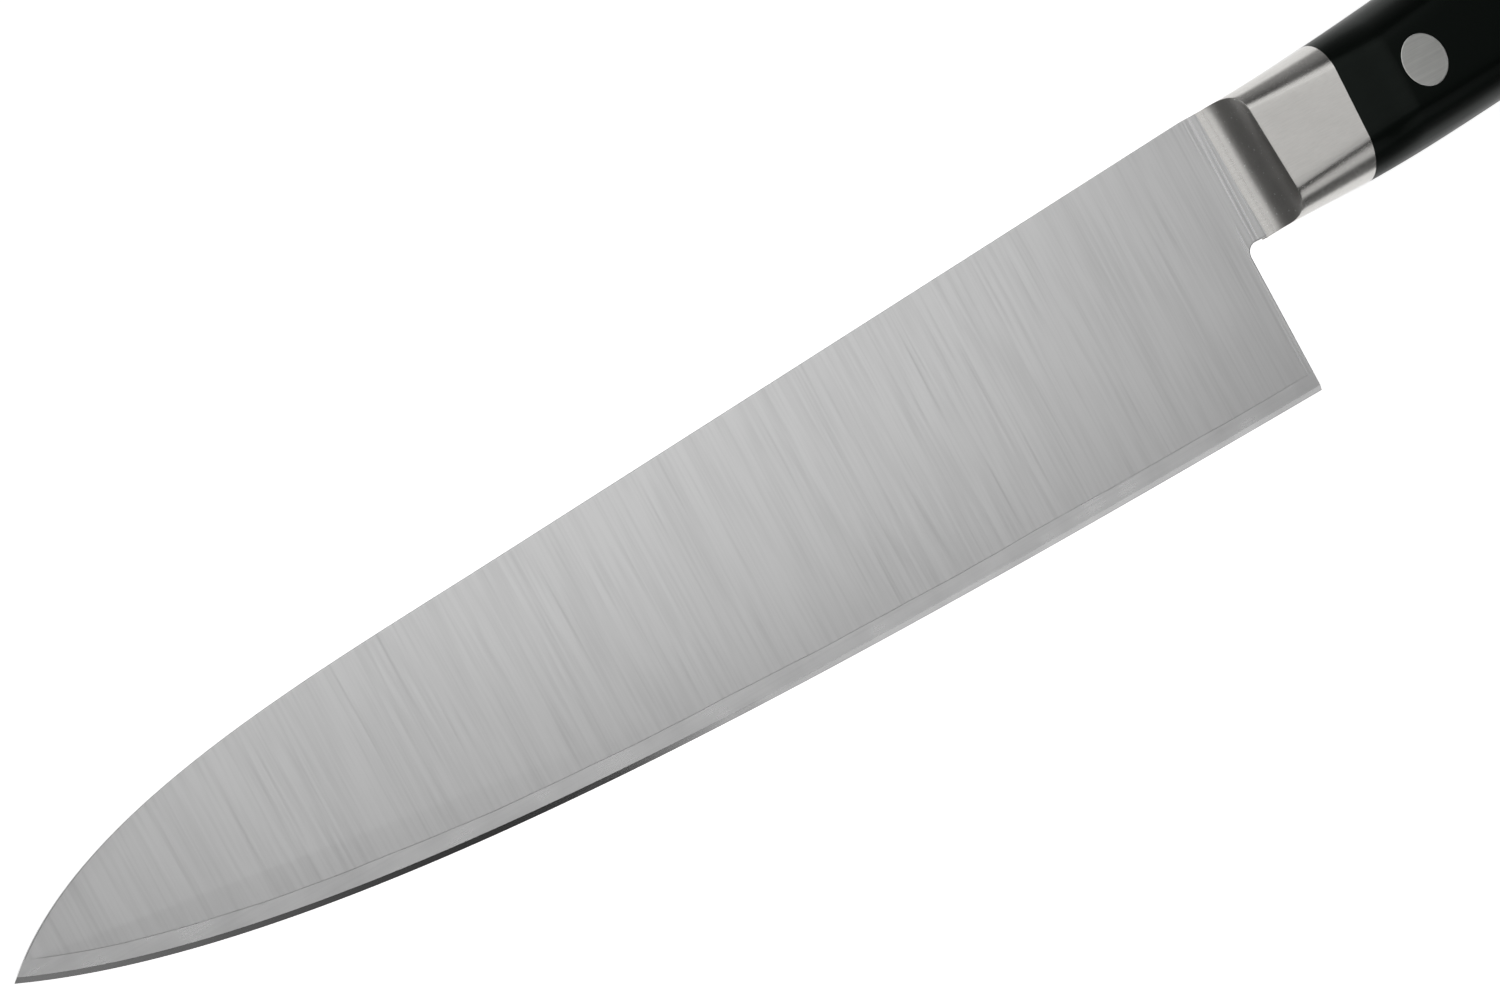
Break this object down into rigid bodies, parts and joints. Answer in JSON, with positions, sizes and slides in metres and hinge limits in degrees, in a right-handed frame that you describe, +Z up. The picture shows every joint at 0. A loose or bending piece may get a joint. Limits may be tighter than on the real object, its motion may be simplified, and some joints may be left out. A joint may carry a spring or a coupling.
{
  "type": "chef knife",
  "caption": "Western-handled chef knife with a laminated full-tang blade, a hollow-fronted bolster, black handle scales and flush rivets.",
  "frame": {"origin": "middle of the flat side of the handle that the knife rests on, halfway between the front and the middle rivet", "axes": "+X from the tip to the butt, +Y from the cutting edge to the spine, +Z up out of the right side of the blade, square to its middle plane"},
  "size_m": [0.3347, 0.05, 0.0165],
  "materials": {
    "core_steel": "fine ground hard steel",
    "cladding_steel": "satin, fine grind lines across the blade",
    "bolster_steel": "polished, with satin flat sides",
    "handle_scale": "polished black resin-laminated wood",
    "rivet_steel": "brushed flush with the scales"
  },
  "bodies": {
    "root": {"blade_core": "core_steel", "cladding_left": "cladding_steel", "cladding_right": "cladding_steel", "bolster_left": "bolster_steel", "bolster_right": "bolster_steel", "scale_left": "handle_scale", "scale_right": "handle_scale", "front_rivet_female": "rivet_steel", "front_rivet_male": "rivet_steel", "middle_rivet_female": "rivet_steel", "middle_rivet_male": "rivet_steel", "rear_rivet_female": "rivet_steel", "rear_rivet_male": "rivet_steel"}
  },
  "joints": []
}
